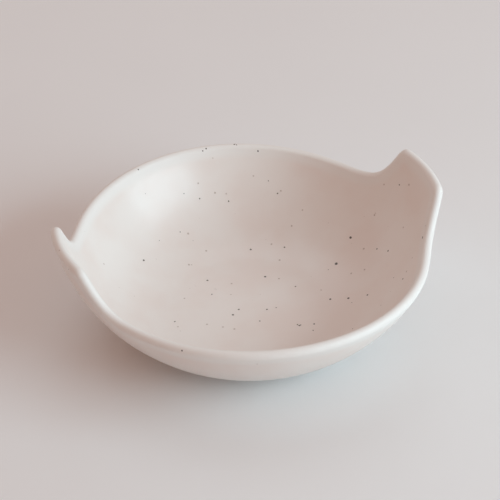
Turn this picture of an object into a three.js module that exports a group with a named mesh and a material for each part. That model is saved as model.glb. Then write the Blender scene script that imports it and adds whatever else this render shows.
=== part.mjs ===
// Balti dish: a round serving bowl in speckled white stoneware, with two ears that rise out of the rim.
// Millimetres, +Z up. The dish stands on z = 0, its centre is on the Z axis, and the ears lie on +X and -X.
// The wall is one middle surface with an even thickness. Each piece is a stretch of that wall, laid
// between the same rings of points as its neighbours, so that clay meets clay and glaze face to face.
import * as THREE from "three";

// Driving dimensions of the rim, along its middle line
const rimHalfLength = 86.8;
const rimHalfWidth = 89.2;
const rimEndHeight = 44.1;
const rimSideHeight = 47.6;

// Driving dimensions of the wall and the floor
const wallThickness = 5;
const glazeThickness = 0.5;
const floorFlatRadius = 39.6;
const floorReachShare = 0.349;
const rimReachShare = 0.268;
const rimSlope = THREE.MathUtils.degToRad(67);

// Driving dimensions of the foot ring
const footHeight = 3.5;
const footSeatWidth = 6.5;
const footTreadWidth = 3.2;
const footEdgeRadius = 0.9;
const footTaper = 0.5;

// Driving dimensions of the ears
const earRise = 23.7;
const earTopHalfWidth = 17.4;
const earHalfWidth = 44;
const cornerSoftness = 1.3;
const valleySoftness = 5.1;
const flankSteepness = 3.73;
const earLean = 7.1;
const flareReach = 2.5;
const flareHalfWidth = 50.2;

// How far up the wall the ears' rise and flare begin to be felt
const riseBlendPower = 4;
const flareBlendPower = 1.9;

// The line where an ear is luted to the bowl, as a share of the way up the wall
const luteLineShare = 0.8;

// Counts of steps: round the dish, up the wall and over the lip
const topSteps = 4;
const cornerSteps = 4;
const flankSteps = 8;
const sideSteps = 16;
const flankSpreadPower = 1.35;
const lowerWallSteps = 5;
const upperWallSteps = 3;
const lipSteps = 4;

// Worked out from the dimensions above
const halfWall = wallThickness / 2;
const halfClay = halfWall - glazeThickness;
const rimRadius = (rimHalfLength + rimHalfWidth) / 2;
const rimHeight = (rimEndHeight + rimSideHeight) / 2;
const floorMiddleHeight = footHeight + halfWall;
const seatHeight = floorMiddleHeight - halfClay;
const clayFloorTop = floorMiddleHeight + halfClay;
const glazeFloorTop = floorMiddleHeight + halfWall;
const footInnerRadius = floorFlatRadius - footSeatWidth;
const flankRun = earHalfWidth - earTopHalfWidth;

const clay = new THREE.MeshStandardMaterial({ color: 0xc7b8a4, roughness: 0.85, metalness: 0 });
const glaze = new THREE.MeshStandardMaterial({ color: 0xe9e4de, roughness: 0.35, metalness: 0 });

// Angle from the nearer ear's middle, from -90 to +90 degrees
function angleFromEar(theta) {
  const half = Math.PI / 2;
  return THREE.MathUtils.euclideanModulo(theta + half, Math.PI) - half;
}

// Height of the ear over the plain rim, at a distance along the rim from the ear's middle. The flank
// leaves the rim in a soft valley and climbs straight, to reach the level top at its half width.
// A soft minimum of the two rounds the corner between them.
function earHeight(along) {
  const softRise = flankSteepness * valleySoftness;
  const valleyAt = earTopHalfWidth + valleySoftness * Math.log(Math.expm1(earRise / softRise));
  const flank = softRise * Math.log1p(Math.exp((valleyAt - Math.abs(along)) / valleySoftness));
  const apart = Math.abs(flank - earRise) / cornerSoftness;
  return Math.min(flank, earRise) - cornerSoftness * Math.log1p(Math.exp(-apart));
}

// How far the rim swings outwards towards an ear, easing off on both sides
function earFlare(along) {
  const near = Math.max(0, 1 - Math.abs(along) / flareHalfWidth);
  return flareReach * near * near * (3 - 2 * near);
}

// The rim's middle line at an angle, without the ears, and what the ears add to it
function rimAt(theta) {
  const along = angleFromEar(theta) * rimRadius;
  const towardsEar = Math.cos(2 * theta);
  const rise = earHeight(along);
  return {
    radius: rimRadius + ((rimHalfLength - rimHalfWidth) / 2) * towardsEar,
    height: rimHeight + ((rimEndHeight - rimSideHeight) / 2) * towardsEar,
    rise,
    reach: earFlare(along) + (earLean * rise) / earRise,
  };
}

// A cubic curve through four values, and its slope
function cubic(a, b, c, d, t) {
  const s = 1 - t;
  return s * s * s * a + 3 * s * s * t * b + 3 * s * t * t * c + t * t * t * d;
}

function cubicSlope(a, b, c, d, t) {
  const s = 1 - t;
  return 3 * (s * s * (b - a) + 2 * s * t * (c - b) + t * t * (d - c));
}

// The wall's profile at an angle, from the edge of the flat floor (up = 0) to the rim (up = 1)
function profileAt(theta, up) {
  const rim = rimAt(theta);
  const chord = Math.hypot(rim.radius - floorFlatRadius, rim.height - floorMiddleHeight);
  const radii = [
    floorFlatRadius,
    floorFlatRadius + floorReachShare * chord,
    rim.radius - rimReachShare * chord * Math.cos(rimSlope),
    rim.radius,
  ];
  const heights = [
    floorMiddleHeight,
    floorMiddleHeight,
    rim.height - rimReachShare * chord * Math.sin(rimSlope),
    rim.height,
  ];
  return {
    radius: cubic(...radii, up) + rim.reach * Math.pow(up, flareBlendPower),
    height: cubic(...heights, up) + rim.rise * Math.pow(up, riseBlendPower),
    radiusSlope: cubicSlope(...radii, up) + rim.reach * flareBlendPower * Math.pow(up, flareBlendPower - 1),
    heightSlope: cubicSlope(...heights, up) + rim.rise * riseBlendPower * Math.pow(up, riseBlendPower - 1),
  };
}

function polar(radius, theta, height) {
  return new THREE.Vector3(radius * Math.cos(theta), radius * Math.sin(theta), height);
}

// The wall's middle point, its outward normal, and the way off its edge, square to the rim's line
function wallFrame(theta, up) {
  const angleStep = 1e-4;
  const here = profileAt(theta, up);
  const before = profileAt(theta - angleStep, up);
  const after = profileAt(theta + angleStep, up);
  const round = polar(after.radius, theta + angleStep, after.height);
  round.sub(polar(before.radius, theta - angleStep, before.height)).normalize();
  const climb = polar(here.radiusSlope, theta, here.heightSlope).normalize();
  const normal = round.clone().cross(climb).normalize();
  const edge = normal.clone().cross(round).normalize();
  return { point: polar(here.radius, theta, here.height), normal, edge };
}

// A point on the wall's face, at half a thickness from the middle: side 1 is outside and -1 inside
function facePoint(theta, up, half, side) {
  const frame = wallFrame(theta, up);
  return frame.point.addScaledVector(frame.normal, side * half);
}

// A point on the round lip, from the outside (turn = 0) to the inside (turn = 1)
function lipPoint(theta, turn, half) {
  const frame = wallFrame(theta, 1);
  const angle = turn * Math.PI;
  frame.point.addScaledVector(frame.normal, half * Math.cos(angle));
  return frame.point.addScaledVector(frame.edge, half * Math.sin(angle));
}

// Distances from an ear's middle to the columns of points on one side of it: even on the top,
// close together round the corner, and wider apart towards the foot of the flank.
function earColumns() {
  const cornerHalf = flankRun / flankSteps / 2;
  const cornerStart = earTopHalfWidth - cornerHalf;
  const cornerEnd = earTopHalfWidth + cornerHalf;
  const columns = [];
  for (let i = 1; i <= topSteps; i++) {
    columns.push((cornerStart * i) / topSteps);
  }
  for (let i = 1; i <= cornerSteps; i++) {
    columns.push(cornerStart + ((cornerEnd - cornerStart) * i) / cornerSteps);
  }
  for (let i = 1; i <= flankSteps; i++) {
    columns.push(cornerEnd + (earHalfWidth - cornerEnd) * Math.pow(i / flankSteps, flankSpreadPower));
  }
  return columns;
}

// The angles of all columns, from the first column of the +X ear round to the last before it again
const halfEar = earColumns().map((along) => along / rimRadius);
const earEndAngle = halfEar.at(-1);
const oneEar = [...halfEar.map((angle) => -angle).reverse(), 0, ...halfEar];
const oneSide = [];
for (let i = 1; i < sideSteps; i++) {
  oneSide.push(earEndAngle + ((Math.PI - 2 * earEndAngle) * i) / sideSteps);
}
const halfRound = [...oneEar, ...oneSide];
const allAngles = [...halfRound, ...halfRound.map((angle) => angle + Math.PI)];

// A stretch of columns that starts at one of them and wraps round at the end of the list
function stretch(start, count) {
  return Array.from({ length: count }, (_, i) => allAngles[(start + i) % allAngles.length]);
}
const rightEar = stretch(0, oneEar.length);
const backSide = stretch(oneEar.length - 1, sideSteps + 1);
const leftEar = stretch(halfRound.length, oneEar.length);
const frontSide = stretch(halfRound.length + oneEar.length - 1, sideSteps + 1);

// Shares of the way up the wall, split at the line where the ears are luted on
const lowerShares = [];
for (let i = 0; i <= lowerWallSteps; i++) lowerShares.push((luteLineShare * i) / lowerWallSteps);
const upperShares = [];
for (let i = 0; i <= upperWallSteps; i++) {
  upperShares.push(luteLineShare + ((1 - luteLineShare) * i) / upperWallSteps);
}
const wallShares = [...lowerShares, ...upperShares.slice(1)];

// Rings of points, each a function of the angle. Every piece lists them in the same order, from the
// foot up the outside, over the lip and down the inside, so that faces that touch are cut alike.
const outsideRings = (shares, half) => shares.map((up) => (theta) => facePoint(theta, up, half, 1));
const insideRings = (shares, half) => shares.map((up) => (theta) => facePoint(theta, up, half, -1));
function lipRings(half) {
  const rings = [];
  for (let i = 1; i < lipSteps; i++) rings.push((theta) => lipPoint(theta, i / lipSteps, half));
  return rings;
}
const flatRing = (radius, height) => (theta) => polar(radius, theta, height);

// A closed solid from a list of triangles, each given by its three corners
function solid(name, material, triangles) {
  const positions = new Float32Array(triangles.length * 9);
  triangles.flat().forEach((corner, i) => corner.toArray(positions, 3 * i));
  const geometry = new THREE.BufferGeometry();
  geometry.setAttribute("position", new THREE.BufferAttribute(positions, 3));
  geometry.computeVertexNormals();
  const mesh = new THREE.Mesh(geometry, material);
  mesh.name = name;
  return mesh;
}

// Two triangles across a four-sided patch, its corners anticlockwise as seen from outside
function patch(a, b, c, d) {
  return [
    [a, b, c],
    [a, c, d],
  ];
}

// The same triangles, facing the other way
function flipped(triangles) {
  return triangles.map(([a, b, c]) => [a, c, b]);
}

// The strip of patches between each ring and the next, over the columns at the given angles
function strips(rings, angles, closed) {
  const triangles = [];
  const rows = rings.map((ring) => angles.map(ring));
  const last = closed ? angles.length : angles.length - 1;
  for (let r = 0; r + 1 < rows.length; r++) {
    for (let i = 0; i < last; i++) {
      const j = (i + 1) % angles.length;
      triangles.push(...patch(rows[r][i], rows[r][j], rows[r + 1][j], rows[r + 1][i]));
    }
  }
  return triangles;
}

// A flat disc, as a fan from its centre on the Z axis to a ring, facing up or down
function disc(height, ring, facingUp) {
  const centre = new THREE.Vector3(0, 0, height);
  const corners = allAngles.map(ring);
  const triangles = corners.map((corner, i) => [centre, corner, corners[(i + 1) % corners.length]]);
  return facingUp ? triangles : flipped(triangles);
}

// The end face of a stretch of wall above the lute line, facing on round the dish
function wallEnd(theta) {
  const outside = [...outsideRings(upperShares, halfClay), ...lipRings(halfClay)].map((ring) => ring(theta));
  const inside = insideRings(upperShares, halfClay).map((ring) => ring(theta));
  const triangles = [];
  for (let r = 0; r < upperWallSteps; r++) {
    triangles.push(...patch(outside[r], inside[r], inside[r + 1], outside[r + 1]));
  }
  for (let r = upperWallSteps; r + 1 < outside.length; r++) {
    triangles.push([outside[r], inside.at(-1), outside[r + 1]]);
  }
  return triangles;
}

// The wall above the lute line over a stretch of columns, with its two end faces
function upperWall(angles) {
  const rings = [
    ...outsideRings(upperShares, halfClay),
    ...lipRings(halfClay),
    ...insideRings(upperShares, halfClay).reverse(),
  ];
  return [
    ...strips(rings, angles, false),
    ...flipped(wallEnd(angles[0])),
    ...wallEnd(angles.at(-1)),
  ];
}

// The seam where an ear is luted on, across the wall's thickness and facing up
function luteSeam(angles) {
  const outside = (theta) => facePoint(theta, luteLineShare, halfClay, 1);
  const inside = (theta) => facePoint(theta, luteLineShare, halfClay, -1);
  return strips([outside, inside], angles, false);
}

// The bowl's clay: floor and wall, with a notch in the rim for each ear
function bowlBody() {
  const outside = [flatRing(footInnerRadius, seatHeight), ...outsideRings(lowerShares, halfClay)];
  const inside = insideRings(lowerShares, halfClay).reverse();
  return solid("bowl_body", clay, [
    ...disc(seatHeight, outside[0], false),
    ...strips(outside, allAngles, true),
    ...strips(inside, allAngles, true),
    ...disc(clayFloorTop, inside.at(-1), true),
    ...upperWall(backSide),
    ...upperWall(frontSide),
    ...luteSeam(rightEar),
    ...luteSeam(leftEar),
  ]);
}

// One ear's clay: the wall above the lute line, raised, leaned out and rounded over its lip
function ear(name, angles) {
  return solid(name, clay, [...upperWall(angles), ...flipped(luteSeam(angles))]);
}

// The foot ring: left bare, seated under the floor, with a flat tread between two rounded edges
function footRing() {
  const treadMiddle = floorFlatRadius - footTaper - footSeatWidth / 2;
  const treadOuter = treadMiddle + footTreadWidth / 2;
  const treadInner = treadMiddle - footTreadWidth / 2;
  const edgeMiddle = footEdgeRadius * Math.SQRT1_2;
  const rings = [
    flatRing(footInnerRadius, seatHeight),
    flatRing(footInnerRadius, footHeight),
    flatRing(treadInner - footEdgeRadius, footEdgeRadius),
    flatRing(treadInner - edgeMiddle, footEdgeRadius - edgeMiddle),
    flatRing(treadInner, 0),
    flatRing(treadOuter, 0),
    flatRing(treadOuter + edgeMiddle, footEdgeRadius - edgeMiddle),
    flatRing(treadOuter + footEdgeRadius, footEdgeRadius),
    flatRing(floorFlatRadius, footHeight),
    flatRing(floorFlatRadius, seatHeight),
    flatRing(footInnerRadius, seatHeight),
  ];
  return solid("foot_ring", clay, strips(rings, allAngles, true));
}

// The glaze over the bowl and the ears: a skin from the foot ring up, over the lip and across the floor
function glazeCoat() {
  const skin = (half) => [
    ...outsideRings(wallShares, half),
    ...lipRings(half),
    ...insideRings(wallShares, half).reverse(),
  ];
  const face = skin(halfWall);
  const back = skin(halfClay);
  return solid("glaze_coat", glaze, [
    ...strips([back[0], ...face], allAngles, true),
    ...disc(glazeFloorTop, face.at(-1), true),
    ...flipped(strips(back, allAngles, true)),
    ...disc(clayFloorTop, back.at(-1), false),
  ]);
}

// The glaze in the recess inside the foot ring
function baseGlaze() {
  const top = flatRing(footInnerRadius, seatHeight);
  const bottom = flatRing(footInnerRadius, footHeight);
  return solid("base_glaze", glaze, [
    ...disc(footHeight, bottom, false),
    ...strips([bottom, top], allAngles, true),
    ...disc(seatHeight, top, true),
  ]);
}

const dish = new THREE.Group();
dish.add(bowlBody(), footRing(), ear("right_ear", rightEar), ear("left_ear", leftEar), glazeCoat(), baseGlaze());

export default dish;
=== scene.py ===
# Balti dish in speckled white stoneware: the fine shape and the finish of every piece.
# Metres, +Z up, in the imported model's own frame: the dish stands on z = 0, its ears on +X and -X.
import math

import bpy
import numpy as np
from bpy.props import FloatProperty, FloatVectorProperty, PointerProperty
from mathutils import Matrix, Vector
from mathutils.kdtree import KDTree


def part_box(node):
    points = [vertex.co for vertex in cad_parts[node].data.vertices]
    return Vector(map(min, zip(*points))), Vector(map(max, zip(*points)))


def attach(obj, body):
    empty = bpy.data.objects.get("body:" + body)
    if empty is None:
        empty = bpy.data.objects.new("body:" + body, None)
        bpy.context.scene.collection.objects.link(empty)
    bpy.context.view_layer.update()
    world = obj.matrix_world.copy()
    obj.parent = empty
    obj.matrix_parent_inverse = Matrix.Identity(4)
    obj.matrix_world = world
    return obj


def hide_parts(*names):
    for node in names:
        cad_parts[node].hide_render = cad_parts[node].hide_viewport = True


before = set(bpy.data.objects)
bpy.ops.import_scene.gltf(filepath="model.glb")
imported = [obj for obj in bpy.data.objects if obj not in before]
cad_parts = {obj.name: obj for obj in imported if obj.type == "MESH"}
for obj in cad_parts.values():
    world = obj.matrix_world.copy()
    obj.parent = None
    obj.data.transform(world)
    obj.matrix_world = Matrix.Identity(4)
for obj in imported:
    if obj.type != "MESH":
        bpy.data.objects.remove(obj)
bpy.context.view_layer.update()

bl_info = {
    "name": "Balti Dish",
    "version": (1, 0, 0),
    "blender": (4, 5, 0),
    "location": "3D View > Sidebar > Balti Dish",
    "description": "Builds a speckled stoneware balti dish with its foot, ears, glaze and stage",
    "category": "Mesh",
}

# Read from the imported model, so that the fine pieces keep to it
FOOT_LOW, FOOT_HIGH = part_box("foot_ring")
BASE_LOW, BASE_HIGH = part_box("base_glaze")

# How many columns of points each stretch has: half an ear's top, its corner, its flank, and a side
TOP_COLUMNS = 12
CORNER_COLUMNS = 14
FLANK_COLUMNS = 30
SIDE_COLUMNS = 60
# A corner's columns reach to either side by the flank's run over this number
CORNER_PART = 12
# Power that draws a flank's columns towards its corner
FLANK_GATHERING = 1.3

# How many steps each stretch of a piece has from its first row of points to its last
CLAY_ROWS = 26
CLAY_UPPER_ROWS = 14
CLAY_LIP_ROWS = 10
GLAZE_ROWS = 56
GLAZE_LIP_ROWS = 16
GLAZE_BACK_ROWS = 24
GLAZE_BACK_LIP_ROWS = 8
WELL_RINGS = 10
RECESS_RINGS = 8
TREAD_EDGE_ROWS = 8
STAGE_RINGS = 4
STAGE_COLUMNS = 96

# The dark iron specks inside the dish: x, y and radius in metres
DARK_SPECKS = (
    (0.0819, -0.0281, 0.0007),
    (0.036, 0.0783, 0.00055),
    (0.0537, 0.0129, 0.00097),
    (0.0648, 0.0201, 0.00087),
    (0.0486, -0.0144, 0.00083),
    (0.0408, -0.0092, 0.00071),
    (0.0172, 0.0212, 0.00075),
    (-0.0102, -0.003, 0.00069),
    (-0.0118, 0.0292, 0.00067),
    (-0.0402, 0.0471, 0.00069),
    (-0.0058, 0.0001, 0.00065),
    (0.056, -0.0212, 0.00063),
    (0.0852, -0.0257, 0.00069),
    (0.0682, -0.0359, 0.00058),
    (0.0185, 0.0447, 0.00063),
    (0.0075, -0.0052, 0.0006),
    (0.025, -0.0252, 0.00059),
    (-0.0395, 0.0026, 0.00055),
    (0.0741, -0.0058, 0.00056),
    (0.0285, 0.0075, 0.00053),
    (0.0351, 0.0383, 0.00054),
    (0.0715, 0.0019, 0.0005),
    (0.0408, 0.0623, 0.0005),
    (0.0158, 0.0697, 0.0005),
    (0.001, 0.0739, 0.0005),
    (-0.014, 0.0172, 0.00046),
    (0.088, 0.0128, 0.00045),
    (0.0125, -0.0055, 0.00044),
    (0.0005, -0.0128, 0.00043),
    (0.0225, -0.0298, 0.00043),
    (0.0171, -0.0225, 0.0005),
    (0.0176, -0.0236, 0.00063),
    (0.0184, -0.0234, 0.00045),
)
# Dark specks on the lip: degrees round the dish, share of the way over the lip from the outside, and
# radius in metres
LIP_SPECKS = (
    (83.5, 0.81, 0.00052),
    (73.5, 0.63, 0.00055),
    (72.8, 0.68, 0.0004),
    (109.9, 0.83, 0.0005),
    (228, 0.27, 0.00045),
)
# Specks that lie deeper and show soft and brown through the glaze: x, y and radius in metres
SOFT_SPECKS = (
    (0.0902, 0.0063, 0.0008),
    (-0.0138, -0.0142, 0.00075),
    (0.0296, 0.0317, 0.0008),
    (0.0712, -0.0336, 0.0008),
    (0.0673, 0.0089, 0.00075),
    (0.0232, 0.017, 0.00075),
    (-0.0012, 0.022, 0.00075),
    (-0.0185, -0.0105, 0.00075),
    (0.0297, 0.0432, 0.0007),
    (-0.0252, -0.0055, 0.0007),
    (0.0021, 0.0789, 0.0007),
    (-0.0164, 0.0444, 0.0008),
    (0.057, 0.0012, 0.0007),
    (-0.0282, 0.0192, 0.0007),
    (-0.0105, 0.0611, 0.0008),
    (0.0425, 0.0464, 0.0007),
    (-0.0395, -0.0019, 0.0006),
    (0.0825, -0.005, 0.0007),
    (0.0627, -0.0027, 0.0007),
    (0.0769, 0.0177, 0.0007),
    (0.0396, -0.0002, 0.0006),
    (0.0838, 0.0221, 0.0006),
    (-0.0042, 0.051, 0.0008),
    (0.0098, 0.0743, 0.0007),
)


def length(name, description, default):
    """A length in metres, shown to a tenth of a millimetre"""
    return FloatProperty(
        name=name, description=description, default=default, unit="LENGTH", precision=4
    )


def grain(name, description, default):
    """A small length in metres, shown to a hundredth of a millimetre"""
    return FloatProperty(
        name=name, description=description, default=default, unit="LENGTH", precision=5
    )


def share(name, description, default):
    """A share of some other size, from nothing to all of it"""
    return FloatProperty(
        name=name, description=description, default=default, min=0, max=1, subtype="FACTOR"
    )


def angle(name, description, default):
    """An angle in radians, shown in degrees"""
    return FloatProperty(name=name, description=description, default=default, subtype="ANGLE")


def number(name, description, default, unit="NONE"):
    """A number that is neither a length in metres, a share nor an angle"""
    return FloatProperty(name=name, description=description, default=default, unit=unit)


def colour(name, description, default):
    """A linear colour"""
    return FloatVectorProperty(
        name=name, description=description, default=default, size=3, min=0, max=1, subtype="COLOR"
    )


class DishSizes(bpy.types.PropertyGroup):
    """Sizes of the bowl, its rim and its ears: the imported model's, with softer edges to the ears"""

    rim_half_length: length("Rim half length", "Rim's middle line, from the centre to an ear", 0.0868)
    rim_half_width: length("Rim half width", "Rim's middle line, from the centre to a side", 0.0892)
    rim_end_height: length("Rim end height", "Height of the rim's middle line under an ear", 0.0441)
    rim_side_height: length("Rim side height", "Height of the rim's middle line at a side", 0.0476)
    wall: length("Wall", "Thickness of the wall, glaze included", 0.005)
    glaze: length("Glaze", "Thickness of the glaze", BASE_HIGH.z - BASE_LOW.z)
    floor_radius: length("Floor radius", "Where the flat floor turns up into the wall", FOOT_HIGH.x)
    floor_reach: share("Floor reach", "How long the wall keeps to the floor's direction", 0.349)
    rim_reach: share("Rim reach", "How long the wall keeps to its slope at the rim", 0.268)
    rim_slope: angle("Rim slope", "Slope of the wall at the rim", math.radians(67))
    ear_rise: length("Ear rise", "Height of an ear over the plain rim", 0.0237)
    ear_top_half_width: length("Ear top half width", "Half the width of an ear's level top", 0.018)
    ear_half_width: length("Ear half width", "Half the length of rim an ear is luted to", 0.044)
    corner: length("Corner softness", "How gently an ear's top turns into its flank", 0.002)
    valley: length("Valley softness", "How gently an ear's flank leaves the rim", 0.0062)
    steepness: number("Flank steepness", "Rise of an ear's flank over its run", 6)
    ear_lean: length("Ear lean", "How far an ear's top leans out", 0.0071)
    flare_reach: length("Flare reach", "How far the rim swings out towards an ear", 0.0025)
    flare_half_width: length("Flare half width", "Half the length of rim that swings out", 0.0502)
    rise_blend: number("Rise blend", "How late up the wall an ear's rise begins", 4)
    flare_blend: number("Flare blend", "How late up the wall the flare begins", 1.9)
    lute_line: share("Lute line", "Way up the wall where an ear is luted on", 0.8)


class FootSizes(bpy.types.PropertyGroup):
    """Sizes of the turned foot ring"""

    height: length("Height", "From the table to the glazed underside", BASE_LOW.z)
    seat: length("Seat", "Height at which the foot meets the bowl's clay", FOOT_HIGH.z)
    inner: length("Inner radius", "Radius of the glazed recess", BASE_HIGH.x)
    tread: length("Tread", "Width of the flat that stands on the table", 0.0032)
    edge: length("Edge", "Radius of the tread's two edges", 0.0009)
    taper: length("Taper", "How far the tread's middle is set in from the seat's", 0.0005)


class GlazeLook(bpy.types.PropertyGroup):
    """Colour and finish of the satin white glaze and its iron specks, with a highlight painted on the
    lip
    """

    white: colour("White", "Glaze where it lies thick", (0.828, 0.79, 0.757))
    warm: colour("Warm", "Glaze where it lies thin over the clay", (0.808, 0.74, 0.7))
    cloud: length("Cloud", "Breadth of a drift of warmer glaze", 0.03)
    # Painted highlight: the lip's colour is a whiter white that stands in for the light the lip
    # catches; its reach also spreads the lip's extra roughness
    painted_lip_highlight: colour("Gathered", "Glaze where it has gathered on the lip", (0.83, 0.815, 0.79))
    lip_highlight_and_satin_reach: length("Gathered reach", "How far from the lip that glaze gives way", 0.004)
    lip_satin: share("Gathered satin", "How much rougher the lip's glaze is", 0.22)
    roughness: share("Roughness", "Satin of the glaze", 0.3)
    gloss_drift: share("Gloss drift", "How far the satin varies from place to place", 0.1)
    gloss_grain: length("Gloss grain", "Breadth of a smoother or rougher place", 0.006)
    skin_grain: length("Skin grain", "Breadth of a dimple in the glaze's skin", 0.0035)
    skin_relief: grain("Skin relief", "Height that the skin's whole relief stands for", 0.00003)
    iron: colour("Iron", "Heart of an iron speck", (0.05, 0.032, 0.024))
    iron_strength: share("Iron strength", "How far a dark speck hides the glaze", 0.94)
    iron_spacing: length("Iron spacing", "From one scattered dark speck to the next", 0.0105)
    iron_radius: grain("Iron radius", "Radius of the largest scattered dark speck", 0.00045)
    rust: colour("Rust", "Speck seen through the glaze", (0.3, 0.21, 0.16))
    soft_strength: share("Soft strength", "How far a speck under the glaze shows", 0.6)
    soft_spacing: length("Soft spacing", "From one scattered soft speck to the next", 0.009)
    soft_radius: grain("Soft radius", "Radius of the largest scattered soft speck", 0.0008)
    bleed: grain("Bleed", "How far a speck's edge wanders", 0.0005)
    bleed_grain: grain("Bleed grain", "Breadth of a wander in a speck's edge", 0.0007)


class ClayLook(bpy.types.PropertyGroup):
    """Colour and finish of the bare stoneware"""

    body: colour("Body", "Bare fired clay", (0.52, 0.43, 0.33))
    toasted: colour("Toasted", "Clay flashed darker beside the glaze", (0.36, 0.23, 0.14))
    toast_strength: share("Toast strength", "How far the flashing goes", 0.8)
    grog: colour("Grog", "Fine grains in the clay", (0.2, 0.14, 0.1))
    grog_strength: share("Grog strength", "How far a grain shows", 0.7)
    grog_spacing: grain("Grog spacing", "From one grain to the next", 0.0016)
    grog_radius: grain("Grog radius", "Radius of the largest grain", 0.00026)
    mottle_grain: length("Mottle grain", "Breadth of the clay's mottling", 0.004)
    tool_pitch: grain("Tool pitch", "From one line of the turning tool to the next", 0.0007)
    grit_grain: grain("Grit grain", "Breadth of the grit in the clay's skin", 0.0005)
    skin_relief: grain("Skin relief", "Height that the skin's whole relief stands for", 0.00006)


class StageLook(bpy.types.PropertyGroup):
    """Floor, lamps, surroundings and the photograph's viewpoint"""

    ground: colour("Ground", "Plain pale floor", (0.85, 0.864, 0.871))
    ground_radius: length("Ground radius", "From the dish's middle to the floor's edge", 1.2)
    ground_grain: length("Ground grain", "Breadth of the floor's very faint mottle", 0.09)
    backdrop: colour("Backdrop", "What the camera and gloss see past the floor", (0.7, 0.69, 0.68))
    air: colour("Air", "Warm soft light from all round", (0.45, 0.286, 0.229))
    lamp_colour: colour("Lamp colour", "Daylight of the two soft lamps", (0.68, 0.91, 1.0))
    lamp_distance: length("Lamp distance", "From the dish's foot to each lamp", 1.4)
    key_azimuth: angle("Key azimuth", "Large lamp's turn about Z from +X", math.radians(-45))
    key_elevation: angle("Key elevation", "Large lamp's height over the horizon", math.radians(25))
    key_width: length("Key width", "Width of the large lamp", 1.1)
    key_height: length("Key height", "Height of the large lamp", 0.8)
    key_power: number("Key power", "Watts of the large lamp on the right", 16.2, "POWER")
    back_azimuth: angle("Back azimuth", "Back lamp's turn about Z from +X", math.radians(90))
    back_elevation: angle("Back elevation", "Back lamp's height over the horizon", math.radians(60))
    back_width: length("Back width", "Side of the square lamp over the back", 1.1)
    back_power: number("Back power", "Watts of the lamp over the back", 3.6, "POWER")
    camera_azimuth: angle("Camera azimuth", "Turn of the view about Z from -Y", -0.3787)
    camera_elevation: angle("Camera elevation", "View's height over the horizon", 0.6217)
    camera_distance: length("Camera distance", "From the camera to what it looks at", 1.13685)
    camera_lens: number("Camera lens", "Focal length in millimetres", 152.94, "CAMERA")
    camera_sensor: number("Camera sensor", "Sensor's width in millimetres", 36, "CAMERA")
    look_at: FloatVectorProperty(
        name="Look at",
        description="Point at the picture's centre",
        default=(0.02306, 0.05723, 0),
        subtype="XYZ",
    )


# Shape of the wall


def spread(start, end, steps):
    """Evenly spaced numbers from start to end"""
    return np.linspace(start, end, steps + 1)


def angle_from_ear(theta):
    """Angle from the nearer ear's middle, from -90 to +90 degrees"""
    return np.mod(theta + math.pi / 2, math.pi) - math.pi / 2


def rim_radius(dish):
    """Mean radius of the rim's middle line"""
    return (dish.rim_half_length + dish.rim_half_width) / 2


def ear_height(dish, along):
    """Rise of an ear along the rim: a flank that leaves the rim as the logarithm of 1 plus an
    exponential, climbs straight, and reaches the ear's rise at its top half width, where a soft
    minimum with the level top rounds the corner."""
    soft_rise = dish.steepness * dish.valley
    valley_at = dish.ear_top_half_width + dish.valley * math.log(math.expm1(dish.ear_rise / soft_rise))
    flank = soft_rise * np.log1p(np.exp((valley_at - np.abs(along)) / dish.valley))
    apart = np.abs(flank - dish.ear_rise) / dish.corner
    return np.minimum(flank, dish.ear_rise) - dish.corner * np.log1p(np.exp(-apart))


def ear_flare(dish, along):
    """How far the rim swings out towards an ear: a smooth step from nothing to the full reach"""
    near = np.maximum(0, 1 - np.abs(along) / dish.flare_half_width)
    return dish.flare_reach * near * near * (3 - 2 * near)


def bezier(a, b, c, d, t):
    """A cubic curve through a to d, and its slope"""
    s = 1 - t
    value = s**3 * a + 3 * s * s * t * b + 3 * s * t * t * c + t**3 * d
    slope = 3 * (s * s * (b - a) + 2 * s * t * (c - b) + t * t * (d - c))
    return value, slope


def profile(dish, theta, up):
    """Radius and height of the wall's middle and their slopes, from the floor's edge (up = 0) to the
    rim (up = 1): a cubic curve that leaves the floor level and meets the rim at its slope, plus an
    ear's rise and reach, each let in by a power of up."""
    radius_mean = rim_radius(dish)
    height_mean = (dish.rim_end_height + dish.rim_side_height) / 2
    towards_ear = np.cos(2 * theta)
    along = angle_from_ear(theta) * radius_mean
    rise = ear_height(dish, along)
    reach = ear_flare(dish, along) + dish.ear_lean * rise / dish.ear_rise
    rim = radius_mean + (dish.rim_half_length - dish.rim_half_width) / 2 * towards_ear
    rim_height = height_mean + (dish.rim_end_height - dish.rim_side_height) / 2 * towards_ear
    floor_height = BASE_LOW.z + dish.wall / 2
    chord = np.hypot(rim - dish.floor_radius, rim_height - floor_height)
    run = dish.rim_reach * chord * math.cos(dish.rim_slope)
    climb = dish.rim_reach * chord * math.sin(dish.rim_slope)
    first = dish.floor_radius + dish.floor_reach * chord
    radius, radius_slope = bezier(dish.floor_radius, first, rim - run, rim, up)
    height, height_slope = bezier(floor_height, floor_height, rim_height - climb, rim_height, up)
    radius = radius + reach * up**dish.flare_blend
    height = height + rise * up**dish.rise_blend
    radius_slope = radius_slope + reach * dish.flare_blend * up ** (dish.flare_blend - 1)
    height_slope = height_slope + rise * dish.rise_blend * up ** (dish.rise_blend - 1)
    return radius, height, radius_slope, height_slope


def polar(radius, theta, height):
    """Points from radius, angle and height"""
    radius, theta, height = np.broadcast_arrays(radius, theta, height)
    return np.stack([radius * np.cos(theta), radius * np.sin(theta), height], axis=-1)


def unit(vectors):
    """The same directions, each of length 1"""
    return vectors / np.linalg.norm(vectors, axis=-1, keepdims=True)


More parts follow.
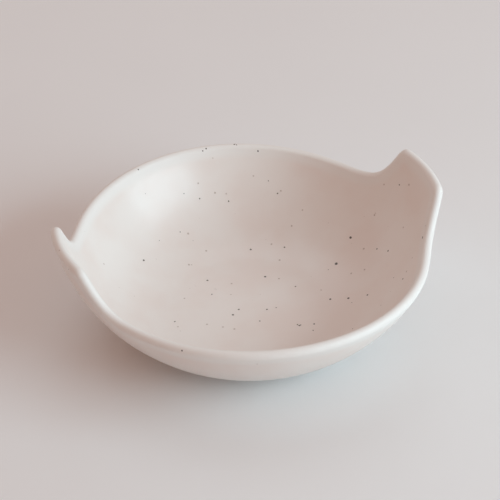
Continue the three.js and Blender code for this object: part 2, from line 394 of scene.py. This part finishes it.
def wall_frame(dish, theta, up):
    """The wall's middle points, outward normals, and the way off the wall's edge, square to the rim"""
    angle_step = 1e-4
    radius, height, radius_slope, height_slope = profile(dish, theta, up)
    before = profile(dish, theta - angle_step, up)
    after = profile(dish, theta + angle_step, up)
    round_way = unit(
        polar(after[0], theta + angle_step, after[1]) - polar(before[0], theta - angle_step, before[1])
    )
    normal = unit(np.cross(round_way, polar(radius_slope, theta, height_slope)))
    return polar(radius, theta, height), normal, unit(np.cross(normal, round_way))


def wall_face(dish, theta, up, half, side):
    """Points at half a thickness from the wall's middle, outside (side = 1) or inside (side = -1).
    Rows follow up and columns follow theta."""
    point, normal, _ = wall_frame(dish, theta[None, :], up[:, None])
    return point + side * half * normal


def round_lip(dish, theta, turns, half):
    """Points on the round lip: a half circle about the rim's middle line, turned from the outside
    (0) over the edge to the inside (1)."""
    point, normal, edge = wall_frame(dish, theta[None, :], np.ones((1, 1)))
    turned = (turns * math.pi)[:, None, None]
    return point + half * (np.cos(turned) * normal + np.sin(turned) * edge)


def ring(radius, theta, height):
    """One level ring of points, as a single row"""
    return polar(radius, theta[None, :], height)


def columns(dish):
    """Angles of the columns of points round the dish, closest at the ears' corners, and how many of
    them an ear has. The first half turn is one ear and one side; the ear's columns come first."""
    half_width = dish.ear_half_width
    corner_half = (half_width - dish.ear_top_half_width) / CORNER_PART
    start = dish.ear_top_half_width - corner_half
    end = dish.ear_top_half_width + corner_half
    along = np.concatenate(
        [
            np.linspace(0, start, TOP_COLUMNS, endpoint=False),
            np.linspace(start, end, CORNER_COLUMNS, endpoint=False),
            end + (half_width - end) * spread(0, 1, FLANK_COLUMNS) ** FLANK_GATHERING,
        ]
    )
    half_ear = along / rim_radius(dish)
    ear = np.concatenate([-half_ear[:0:-1], half_ear])
    gap = spread(half_ear[-1], math.pi - half_ear[-1], SIDE_COLUMNS)[1:-1]
    half_turn = np.concatenate([ear, gap])
    return np.concatenate([half_turn, half_turn + math.pi]), len(ear)


# Meshes from grids


def strips(rows, closed=True):
    """Four-sided patches between each row of points and the next, round to the first column where
    closed"""
    if closed:
        rows = np.concatenate([rows, rows[:, :1]], axis=1)
    corners = [rows[:-1, :-1], rows[:-1, 1:], rows[1:, 1:], rows[1:, :-1]]
    return np.stack(corners, axis=2).reshape(-1, 4, 3)


def flipped(patches):
    """The same patches, facing the other way"""
    return patches[:, ::-1]


def welded(name, patches, material, sharp=math.radians(35), digits=9):
    """A mesh object from patches whose shared corners are the same numbers: each different corner
    becomes one vertex, and a patch with two equal corners becomes a triangle. An edge is left sharp
    where it turns by more than the given angle."""
    points, index = np.unique(patches.reshape(-1, 3).round(digits), axis=0, return_inverse=True)
    faces = index.reshape(-1, 4)
    following = np.roll(faces, -1, axis=1)
    doubled = faces == following
    whole = faces[~doubled.any(axis=1)]
    pointed = faces[doubled.sum(axis=1) == 1]
    kept = ~doubled[doubled.sum(axis=1) == 1]
    triangles = pointed[kept].reshape(-1, 3)
    mesh = bpy.data.meshes.new(name)
    mesh.from_pydata(points.tolist(), [], whole.tolist() + triangles.tolist())
    mesh.polygons.foreach_set("use_smooth", np.ones(len(mesh.polygons), bool))
    mesh.set_sharp_from_angle(angle=sharp)
    mesh.materials.append(material)
    mesh.validate()
    mesh.update()
    piece = bpy.data.objects.new(name, mesh)
    bpy.context.scene.collection.objects.link(piece)
    return piece


def mark_lip(piece, dish, half, reach, fineness=8):
    """Marks each vertex by its distance from the rim's middle line: 1 up to half a thickness, falling
    evenly to 0 over the given reach. The line has fineness times as many points as the columns."""
    theta, _ = columns(dish)
    count = len(theta)
    whole_turn = [*theta, theta[0] + 2 * math.pi]
    finer = np.interp(spread(0, count, fineness * count), np.arange(count + 1), whole_turn)
    rim, _, _ = wall_frame(dish, finer[None, :], np.ones((1, 1)))
    tree = KDTree(len(finer))
    for place, point in enumerate(rim[0]):
        tree.insert(point, place)
    tree.balance()
    apart = np.array([tree.find(vertex.co)[2] for vertex in piece.data.vertices])
    mark = piece.data.attributes.new("lip", "FLOAT", "POINT")
    mark.data.foreach_set("value", 1 - np.clip((apart - half) / reach, 0, 1))


def dress(piece, slot, *nodes):
    """Rides the piece on the dish's one body and lets it stand for the nodes it refines"""
    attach(piece, "root")
    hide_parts(*nodes)


def upper_wall(dish, theta, half):
    """The wall above the lute line over a stretch of columns, with its two end faces. These run from
    the line to the top of the lip, between the same rows outside and inside."""
    ups = spread(dish.lute_line, 1, CLAY_UPPER_ROWS)
    outside = wall_face(dish, theta, ups, half, 1)
    over = round_lip(dish, theta, spread(0, 1, CLAY_LIP_ROWS)[1:-1], half)
    inside = wall_face(dish, theta, ups[::-1], half, -1)
    section = np.concatenate([outside, over, inside])
    to_the_top = len(section) // 2 + 1
    climbing = section[:to_the_top]
    facing = section[::-1][:to_the_top]
    ends = strips(np.stack([climbing[:, -1], facing[:, -1]]), closed=False)
    starts = strips(np.stack([climbing[:, 0], facing[:, 0]]), closed=False)
    return np.concatenate([strips(section, closed=False), flipped(ends), starts])


def lute_seam(dish, theta, half):
    """The seam across the wall's thickness where an ear is luted on, facing up"""
    line = np.array([dish.lute_line])
    outside = wall_face(dish, theta, line, half, 1)
    inside = wall_face(dish, theta, line, half, -1)
    return strips(np.concatenate([outside, inside]), closed=False)


# Shader maths


class Wire:
    """A shader socket that adds Math nodes when it is used in a Python expression"""

    def __init__(self, shader, socket):
        self.shader = shader
        self.socket = socket

    def worked(self, operation, first, second):
        return self.shader.node("ShaderNodeMath", {"operation": operation}, {0: first, 1: second})

    def __add__(self, other):
        return self.worked("ADD", self, other)

    def __radd__(self, other):
        return self.worked("ADD", other, self)

    def __sub__(self, other):
        return self.worked("SUBTRACT", self, other)

    def __rsub__(self, other):
        return self.worked("SUBTRACT", other, self)

    def __mul__(self, other):
        return self.worked("MULTIPLY", self, other)

    def __rmul__(self, other):
        return self.worked("MULTIPLY", other, self)

    def highest(self, other):
        return self.worked("MAXIMUM", self, other)

    def lowest(self, other):
        return self.worked("MINIMUM", self, other)


class Shader:
    """The nodes of one material or world, added one at a time and wired by socket name or number"""

    def __init__(self, owner):
        owner.use_nodes = True
        self.owner = owner
        self.tree = owner.node_tree
        self.tree.nodes.clear()

    def node(self, kind, settings=None, inputs=None, output=0):
        """A new node: its settings are set first, then each socket gets its value or its link"""
        node = self.tree.nodes.new(kind)
        for key, value in (settings or {}).items():
            setattr(node, key, value)
        for key, value in (inputs or {}).items():
            if isinstance(value, Wire):
                self.tree.links.new(value.socket, node.inputs[key])
            else:
                node.inputs[key].default_value = value
        return None if output is None else Wire(self, node.outputs[output])

    def vector(self, operation, first, second, output=0):
        """A Vector Math node on two vectors"""
        inputs = {0: first, 1: second}
        return self.node("ShaderNodeVectorMath", {"operation": operation}, inputs, output)

    def place(self):
        """Where a point is on the dish, in metres"""
        return self.node("ShaderNodeTexCoord", output="Object")

    def attribute(self, name):
        """A number marked on the mesh's vertices"""
        return self.node("ShaderNodeAttribute", {"attribute_name": name}, output="Fac")

    def parts(self, vector):
        """The three numbers of a vector or colour"""
        first = self.node("ShaderNodeSeparateXYZ", {}, {0: vector})
        return [Wire(self, output) for output in first.socket.node.outputs]

    def noise(self, place, size, detail, seed=0.0):
        """Smooth noise from 0 to 1, with grains of about the given size in metres"""
        moved = self.vector("ADD", place, (seed, seed, seed))
        inputs = {"Vector": moved, "Scale": 1 / size, "Detail": detail}
        return self.node("ShaderNodeTexNoise", {}, inputs)

    def ragged(self, place, size, amount):
        """The place moved about by noise of the given size, so that round shapes get ragged edges"""
        inputs = {"Vector": place, "Scale": 1 / size, "Detail": 1.0}
        moved = self.node("ShaderNodeTexNoise", {}, inputs, output="Color")
        centred = self.vector("SUBTRACT", moved, (0.5, 0.5, 0.5))
        scaling = {0: centred, "Scale": amount}
        shift = self.node("ShaderNodeVectorMath", {"operation": "SCALE"}, scaling)
        return self.vector("ADD", place, shift)

    def ease(self, value, start, end):
        """A smooth step from 0 at start to 1 at end"""
        return self.node(
            "ShaderNodeMapRange",
            {"interpolation_type": "SMOOTHSTEP"},
            {"Value": value, "From Min": start, "From Max": end},
        )

    def blend(self, factor, first, second):
        """A colour between two, by a factor"""
        colours = {0: factor, 6: first, 7: second}
        return self.node("ShaderNodeMix", {"data_type": "RGBA"}, colours, output=2)

    def bump(self, height, distance):
        """A normal from a height of 0 to 1 that stands for a distance in metres"""
        inputs = {"Height": height, "Distance": distance, "Strength": 1.0}
        return self.node("ShaderNodeBump", {}, inputs)

    def finish(self, **sockets):
        """Wires the surface up and gives the material"""
        inputs = {key.replace("_", " "): value for key, value in sockets.items()}
        surface = self.node("ShaderNodeBsdfPrincipled", {}, inputs)
        self.node("ShaderNodeOutputMaterial", {}, {"Surface": surface}, output=None)
        return self.owner


def rgba(values):
    """A colour property with full alpha"""
    return (*values, 1.0)


def scattered_specks(shader, place, spacing, radius, soft_share, seed):
    """Specks: points scattered through the clay at the given spacing, each a ball of a random size up
    to radius, which shows as a round spot where the surface cuts it. Gives its strength from 0 to 1,
    easing off over the soft share of its radius."""
    least = 0.3
    moved = shader.vector("ADD", place, (seed, seed, seed))
    inputs = {"Vector": moved, "Scale": 1 / spacing, "Randomness": 1.0}
    distance = shader.node("ShaderNodeTexVoronoi", {}, inputs, output="Distance") * spacing
    cell = shader.node("ShaderNodeTexVoronoi", {}, inputs, output="Color")
    chance = shader.parts(cell)[0]
    size = radius * (least + (1 - least) * chance)
    return 1 - shader.ease(distance, size * (1 - soft_share), size)


def inner_height(dish, x, y, steps=400):
    """Height of the dish's inner face over a place in plan: the wall's inner face at that place's
    angle, looked up by its radius, or the flat floor within it."""
    theta = np.array([math.atan2(y, x)])
    face = wall_face(dish, theta, spread(0, 1, steps), dish.wall / 2, -1)[:, 0]
    return float(np.interp(math.hypot(x, y), np.hypot(face[:, 0], face[:, 1]), face[:, 2]))


def on_inner_face(dish, table):
    """Centre and radius of each speck that a table gives by its place in plan"""
    return [((x, y, inner_height(dish, x, y)), radius) for x, y, radius in table]


def on_lip(dish, table):
    """Centre and radius of each speck that a table gives by its place on the lip"""
    found = []
    for degrees, turn, radius in table:
        theta = np.array([math.radians(degrees)])
        centre = round_lip(dish, theta, np.array([turn]), dish.wall / 2)[0, 0]
        found.append((tuple(centre), radius))
    return found


def placed_specks(shader, place, found, core_share):
    """Specks with given centres and radii: the least of every speck's distance over its radius,
    eased from 1 within the core's share of the radius to 0 at the radius."""
    nearest = None
    for centre, radius in found:
        apart = shader.vector("DISTANCE", place, centre, output=1) * (1 / radius)
        nearest = apart if nearest is None else nearest.lowest(apart)
    return 1 - shader.ease(nearest, core_share, 1)


# Materials


def speckled_glaze(look, dish):
    """Satin white glaze: slow drifts of warmth where it lies thinner, a painted highlight that whitens
    the lip, where the glaze is also less glossy, iron specks that have bled a little into it, dark
    ones and soft brown ones, and a faint unevenness in the gloss and the skin."""
    thin_from, thin_to = 0.34, 0.7
    soft_edge, dark_edge = 0.9, 0.5
    soft_core, dark_core = 0.3, 0.6
    skin_rise, speck_dip, speck_satin = 0.5, 0.35, 0.12
    shader = Shader(bpy.data.materials.new("speckled_white_glaze"))
    place = shader.place()
    cloud = shader.noise(place, look.cloud, detail=3.0)
    gloss = shader.noise(place, look.gloss_grain, detail=3.0, seed=0.3)
    thin = shader.ease(cloud, thin_from, thin_to)
    wall = shader.blend(thin, rgba(look.white), rgba(look.warm))
    # The lip mark and a painted highlight: the lip is blended towards a whiter colour where it catches
    # more light
    on_the_lip = shader.attribute("lip")
    ground = shader.blend(shader.ease(on_the_lip, 0, 1), wall, rgba(look.painted_lip_highlight))
    ragged = shader.ragged(place, look.bleed_grain, look.bleed)
    soft = scattered_specks(shader, ragged, look.soft_spacing, look.soft_radius, soft_edge, 0.11)
    soft_places = on_inner_face(dish, SOFT_SPECKS)
    soft = soft.highest(placed_specks(shader, ragged, soft_places, soft_core))
    dark = scattered_specks(shader, ragged, look.iron_spacing, look.iron_radius, dark_edge, 0.37)
    dark_places = on_inner_face(dish, DARK_SPECKS) + on_lip(dish, LIP_SPECKS)
    dark = dark.highest(placed_specks(shader, ragged, dark_places, dark_core))
    tinted = shader.blend(soft * look.soft_strength, ground, rgba(look.rust))
    base = shader.blend(dark * look.iron_strength, tinted, rgba(look.iron))
    satin = look.roughness + look.gloss_drift * (gloss - 0.5) + dark * speck_satin
    skin = shader.noise(place, look.skin_grain, detail=1.0, seed=0.9)
    relief = skin * skin_rise - dark * speck_dip
    return shader.finish(
        Base_Color=base,
        Roughness=satin + on_the_lip * look.lip_satin,
        Normal=shader.bump(relief, look.skin_relief),
        IOR=1.5,
    )


def bare_clay(look, name, toast_height, toast_depth):
    """Bare stoneware: buff clay with fine dark grains, darker towards the toast height, with the fine
    circular lines of the turning tool and a dry, gritty skin."""
    smoothest, roughening = 0.78, 0.14
    grit_rise, line_rise = 0.7, 0.12
    grain_edge = 0.5
    shader = Shader(bpy.data.materials.new(name))
    place = shader.place()
    x, y, height = shader.parts(place)
    mottle = shader.noise(place, look.mottle_grain, detail=4.0)
    uneven = height + (mottle - 0.5) * toast_depth
    toast = shader.ease(uneven, toast_height - toast_depth, toast_height)
    ground = shader.blend(toast * look.toast_strength, rgba(look.body), rgba(look.toasted))
    grains = scattered_specks(shader, place, look.grog_spacing, look.grog_radius, grain_edge, 0.21)
    base = shader.blend(grains * look.grog_strength, ground, rgba(look.grog))
    out = shader.node("ShaderNodeMath", {"operation": "SQRT"}, {0: x * x + y * y})
    turned = out * (2 * math.pi / look.tool_pitch)
    lines = shader.node("ShaderNodeMath", {"operation": "SINE"}, {0: turned})
    grit = shader.noise(place, look.grit_grain, detail=3.0, seed=0.5)
    return shader.finish(
        Base_Color=base,
        Roughness=smoothest + roughening * mottle,
        Normal=shader.bump(grit * grit_rise + lines * line_rise, look.skin_relief),
        IOR=1.5,
    )


def hidden_clay(look, name):
    """Bare stoneware that is glazed all over, with the toast height far above it: none is toasted"""
    far_above, depth = 1, 0.001
    return bare_clay(look, name, far_above, depth)


def plain_floor(look):
    """Plain pale matt floor with a very faint mottle"""
    darkest = 0.97
    smoothest, roughening = 0.9, 0.08
    shader = Shader(bpy.data.materials.new("plain_floor"))
    mottle = shader.noise(shader.place(), look.ground_grain, detail=4.0)
    darker = tuple(darkest * c for c in look.ground)
    return shader.finish(
        Base_Color=shader.blend(mottle, rgba(look.ground), rgba(darker)),
        Roughness=smoothest + roughening * mottle,
        Specular_IOR_Level=0.2,
    )


# Operators, one for each piece or pair of like pieces and one for the stage


class BALTI_OT_thrown_bowl(bpy.types.Operator):
    """Make the thrown clay bowl under the glaze, with a notch in its rim for each ear"""

    bl_idname = "balti.thrown_bowl"
    bl_label = "Thrown Bowl"

    def execute(self, context):
        dish, foot = context.scene.dish_sizes, context.scene.foot_sizes
        half = dish.wall / 2 - dish.glaze
        theta, ear_count = columns(dish)
        half_count = len(theta) // 2
        whole = np.concatenate([theta, theta[:ear_count]])
        ups = spread(0, dish.lute_line, CLAY_ROWS)
        middle = BASE_LOW.z + dish.wall / 2
        outside = np.concatenate(
            [
                ring(0, theta, foot.seat),
                ring(foot.inner, theta, foot.seat),
                wall_face(dish, theta, ups, half, 1),
            ]
        )
        inside = np.concatenate(
            [
                wall_face(dish, theta, ups[::-1], half, -1),
                ring(0, theta, middle + half),
            ]
        )
        patches = [strips(outside), strips(inside)]
        for start in (0, half_count):
            ear = whole[start : start + ear_count]
            side = whole[start + ear_count - 1 : start + half_count + 1]
            patches.append(upper_wall(dish, side, half))
            patches.append(lute_seam(dish, ear, half))
        clay = hidden_clay(context.scene.clay_look, "bowl_clay")
        piece = welded("thrown_bowl", np.concatenate(patches), clay)
        dress(piece, "clay_body", "bowl_body")
        return {"FINISHED"}


class BALTI_OT_luted_ears(bpy.types.Operator):
    """Make the clay of the two ears, which are luted onto the rim"""

    bl_idname = "balti.luted_ears"
    bl_label = "Luted Ears"

    def execute(self, context):
        dish = context.scene.dish_sizes
        half = dish.wall / 2 - dish.glaze
        theta, ear_count = columns(dish)
        clay = hidden_clay(context.scene.clay_look, "ear_clay")
        for node, start in (("right_ear", 0), ("left_ear", len(theta) // 2)):
            ear = theta[start : start + ear_count]
            seam = flipped(lute_seam(dish, ear, half))
            patches = np.concatenate([upper_wall(dish, ear, half), seam])
            dress(welded("luted_" + node, patches, clay), "clay_body", node)
        return {"FINISHED"}


class BALTI_OT_turned_foot(bpy.types.Operator):
    """Make the bare foot ring, with its flat tread between two round edges"""

    bl_idname = "balti.turned_foot"
    bl_label = "Turned Foot"

    def execute(self, context):
        dish, foot = context.scene.dish_sizes, context.scene.foot_sizes
        theta, _ = columns(dish)
        tread_middle = dish.floor_radius - foot.taper - (dish.floor_radius - foot.inner) / 2
        tread_outer = tread_middle + foot.tread / 2
        tread_inner = tread_middle - foot.tread / 2
        turn = spread(0, math.pi / 2, TREAD_EDGE_ROWS)
        inner_edge = zip(tread_inner - foot.edge * np.cos(turn), foot.edge * (1 - np.sin(turn)))
        outer_edge = zip(tread_outer + foot.edge * np.sin(turn), foot.edge * (1 - np.cos(turn)))
        outline = [
            (foot.inner, foot.seat),
            (foot.inner, foot.height),
            *inner_edge,
            *outer_edge,
            (dish.floor_radius, foot.height),
            (dish.floor_radius, foot.seat),
            (foot.inner, foot.seat),
        ]
        rows = np.concatenate([ring(radius, theta, height) for radius, height in outline])
        toast_depth = foot.height / 3
        clay = bare_clay(context.scene.clay_look, "foot_clay", foot.height, toast_depth)
        dress(welded("turned_foot", strips(rows), clay), "clay_body", "foot_ring")
        return {"FINISHED"}


class BALTI_OT_glaze_coat(bpy.types.Operator):
    """Make the glaze over the bowl and ears, from the foot up, over the lip and across the floor"""

    bl_idname = "balti.glaze_coat"
    bl_label = "Glaze Coat"

    def execute(self, context):
        dish, look = context.scene.dish_sizes, context.scene.glaze_look
        theta, _ = columns(dish)
        half = dish.wall / 2
        clay_half = half - dish.glaze
        middle = BASE_LOW.z + half
        back_ups = spread(0, 1, GLAZE_BACK_ROWS)
        back = np.concatenate(
            [
                ring(0, theta, middle + clay_half),
                wall_face(dish, theta, back_ups, clay_half, -1),
                round_lip(dish, theta, spread(1, 0, GLAZE_BACK_LIP_ROWS)[1:-1], clay_half),
                wall_face(dish, theta, back_ups[::-1], clay_half, 1),
            ]
        )
        ups = spread(0, 1, GLAZE_ROWS)
        well_radii = spread(dish.floor_radius, 0, WELL_RINGS)[1:]
        face = np.concatenate(
            [
                wall_face(dish, theta, ups, half, 1),
                round_lip(dish, theta, spread(0, 1, GLAZE_LIP_ROWS)[1:-1], half),
                wall_face(dish, theta, ups[::-1], half, -1),
                *(ring(radius, theta, middle + half) for radius in well_radii),
            ]
        )
        patches = strips(np.concatenate([back, face]))
        piece = welded("glaze_over_bowl", patches, speckled_glaze(look, dish))
        # The lip mark places the painted highlight on the lip and its extra roughness
        mark_lip(piece, dish, half, look.lip_highlight_and_satin_reach)
        dress(piece, "white_glaze", "glaze_coat")
        return {"FINISHED"}


class BALTI_OT_base_glaze(bpy.types.Operator):
    """Make the pool of glaze in the recess inside the foot ring"""

    bl_idname = "balti.base_glaze"
    bl_label = "Base Glaze"

    def execute(self, context):
        dish, foot = context.scene.dish_sizes, context.scene.foot_sizes
        theta, _ = columns(dish)
        outline = [
            *((radius, foot.height) for radius in spread(0, foot.inner, RECESS_RINGS)),
            *((radius, foot.seat) for radius in spread(foot.inner, 0, RECESS_RINGS)),
        ]
        rows = np.concatenate([ring(radius, theta, height) for radius, height in outline])
        glaze = speckled_glaze(context.scene.glaze_look, dish)
        piece = welded("glaze_under_base", strips(rows), glaze)
        dress(piece, "white_glaze", "base_glaze")
        return {"FINISHED"}


class BALTI_OT_stage(bpy.types.Operator):
    """Make the floor, the lamps, the surroundings and the camera"""

    bl_idname = "balti.stage"
    bl_label = "Stage"

    def execute(self, context):
        look = context.scene.stage_look
        key_size = (look.key_width, look.key_height)
        back_size = (look.back_width, look.back_width)
        key_way = self.way_out(look.key_azimuth, look.key_elevation)
        back_way = self.way_out(look.back_azimuth, look.back_elevation)
        self.make_floor(look)
        self.make_surroundings(context, look)
        self.make_lamp(context, look, "key", key_way, key_size, look.key_power)
        self.make_lamp(context, look, "back", back_way, back_size, look.back_power)
        self.make_camera(context, look)
        context.scene.view_settings.view_transform = "Standard"
        return {"FINISHED"}

    def way_out(self, azimuth, elevation):
        """Direction away from the dish, by its turn about Z from +X and its height over the floor"""
        level = math.cos(elevation)
        return Vector((level * math.cos(azimuth), level * math.sin(azimuth), math.sin(elevation)))

    def face_back(self, thing, way):
        """Turns a lamp or camera that stands out along a direction to look back along it"""
        thing.rotation_euler = way.to_track_quat("Z", "Y").to_euler()

    def make_floor(self, look):
        """A wide level disc under the foot"""
        theta = spread(0, 2 * math.pi, STAGE_COLUMNS)[:-1]
        radii = spread(look.ground_radius, 0, STAGE_RINGS)
        rows = np.concatenate([ring(radius, theta, 0) for radius in radii])
        welded("floor", strips(rows), plain_floor(look))

    def make_surroundings(self, context, look):
        """A pale backdrop for the camera, gloss and glass, and a faint light from all round"""
        shader = Shader(bpy.data.worlds.new("surroundings"))
        camera, glossy, transmission = (
            shader.node("ShaderNodeLightPath", output=f"Is {kind} Ray")
            for kind in ("Camera", "Glossy", "Transmission")
        )
        air = shader.node("ShaderNodeBackground", {}, {"Color": rgba(look.air)})
        backdrop = shader.node("ShaderNodeBackground", {}, {"Color": rgba(look.backdrop)})
        seen = camera.highest(glossy).highest(transmission)
        choice = shader.node("ShaderNodeMixShader", {}, {0: seen, 1: air, 2: backdrop})
        shader.node("ShaderNodeOutputWorld", {}, {"Surface": choice}, output=None)
        context.scene.world = shader.owner

    def make_lamp(self, context, look, name, way, size, power):
        """A soft rectangular lamp that stands out along a direction and faces the dish"""
        lamp = bpy.data.lights.new(name, "AREA")
        lamp.shape = "RECTANGLE"
        lamp.size, lamp.size_y = size
        lamp.energy = power
        lamp.color = look.lamp_colour
        light = bpy.data.objects.new(name, lamp)
        light.location = way * look.lamp_distance
        self.face_back(light, way)
        context.scene.collection.objects.link(light)

    def make_camera(self, context, look):
        """The photograph's viewpoint: a long lens that looks down on the dish from the left"""
        azimuth_from_x = look.camera_azimuth - math.pi / 2
        way = self.way_out(azimuth_from_x, look.camera_elevation)
        lens = bpy.data.cameras.new("camera")
        lens.sensor_width = look.camera_sensor
        lens.lens = look.camera_lens
        camera = bpy.data.objects.new("camera", lens)
        camera.location = Vector(look.look_at) + way * look.camera_distance
        self.face_back(camera, way)
        context.scene.collection.objects.link(camera)
        context.scene.camera = camera


class BALTI_PT_panel(bpy.types.Panel):
    """Lists the pieces of the dish and their sizes and colours"""

    bl_idname = "BALTI_PT_panel"
    bl_label = "Balti Dish"
    bl_space_type = "VIEW_3D"
    bl_region_type = "UI"
    bl_category = "Balti Dish"

    def draw(self, context):
        for step in STEPS:
            self.layout.operator(step.bl_idname)
        for group in GROUPS:
            settings = getattr(context.scene, group)
            box = self.layout.box()
            box.label(text=group.replace("_", " ").title())
            for name in settings.__annotations__:
                box.prop(settings, name)


STEPS = (
    BALTI_OT_thrown_bowl,
    BALTI_OT_luted_ears,
    BALTI_OT_turned_foot,
    BALTI_OT_base_glaze,
    BALTI_OT_glaze_coat,
    BALTI_OT_stage,
)
GROUPS = {
    "dish_sizes": DishSizes,
    "foot_sizes": FootSizes,
    "glaze_look": GlazeLook,
    "clay_look": ClayLook,
    "stage_look": StageLook,
}


def register():
    """Adds the classes to Blender and the settings to every scene"""
    for group in (*GROUPS.values(), *STEPS, BALTI_PT_panel):
        bpy.utils.register_class(group)
    for name, group in GROUPS.items():
        setattr(bpy.types.Scene, name, PointerProperty(type=group))


def unregister():
    """Takes the settings and the classes out again"""
    for name in GROUPS:
        delattr(bpy.types.Scene, name)
    for group in (BALTI_PT_panel, *reversed(STEPS), *reversed(GROUPS.values())):
        bpy.utils.unregister_class(group)


def main():
    """Builds every piece in order"""
    register()
    bpy.ops.balti.thrown_bowl()
    bpy.ops.balti.luted_ears()
    bpy.ops.balti.turned_foot()
    bpy.ops.balti.base_glaze()
    bpy.ops.balti.glaze_coat()
    bpy.ops.balti.stage()


if __name__ == "__main__":
    main()
